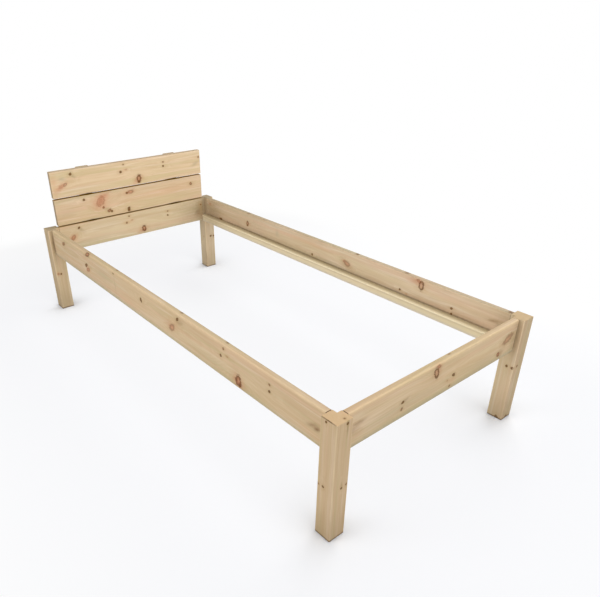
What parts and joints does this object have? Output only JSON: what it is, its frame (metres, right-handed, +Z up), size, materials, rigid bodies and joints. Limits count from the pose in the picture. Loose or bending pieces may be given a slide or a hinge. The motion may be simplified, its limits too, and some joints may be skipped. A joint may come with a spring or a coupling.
{
  "type": "single bed frame",
  "caption": "Rigid pine single bed frame with square corner posts, plank rails, a low plank headboard on hidden battens, and side ledges for a slatted base.",
  "frame": {"origin": "on the floor, at the middle of the frame's length and width", "axes": "+Z up, +Y along the bed towards the headboard, +X to the right seen from the foot end"},
  "size_m": [1, 2.1, 0.713],
  "materials": {
    "post_pine": "satin oiled knotty pine",
    "board_pine": "satin oiled knotty pine",
    "batten_pine": "satin oiled pine",
    "ledge_pine": "planed pale pine",
    "dowel_beech": "raw beech",
    "fitting_zinc": "zinc plated steel",
    "screw_zinc": "zinc plated steel"
  },
  "bodies": {
    "root": {"post_foot_left": "post_pine", "post_foot_right": "post_pine", "post_head_left": "post_pine", "post_head_right": "post_pine", "side_rail_left": "board_pine", "side_rail_right": "board_pine", "foot_rail": "board_pine", "head_rail": "board_pine", "headboard_plank_middle": "board_pine", "headboard_plank_top": "board_pine", "headboard_batten_left": "batten_pine", "headboard_batten_right": "batten_pine", "slat_ledge_left": "ledge_pine", "slat_ledge_right": "ledge_pine", "foot_rail_dowels": "dowel_beech", "head_rail_dowels": "dowel_beech", "ledge_dowels_left": "dowel_beech", "ledge_dowels_right": "dowel_beech", "hook_plates_left": "fitting_zinc", "hook_plates_right": "fitting_zinc", "slotted_plates_left": "fitting_zinc", "slotted_plates_right": "fitting_zinc", "hook_plate_screws_left": "screw_zinc", "hook_plate_screws_right": "screw_zinc", "slotted_plate_screws_left": "screw_zinc", "slotted_plate_screws_right": "screw_zinc", "batten_screws_left": "screw_zinc", "batten_screws_right": "screw_zinc"}
  },
  "joints": []
}
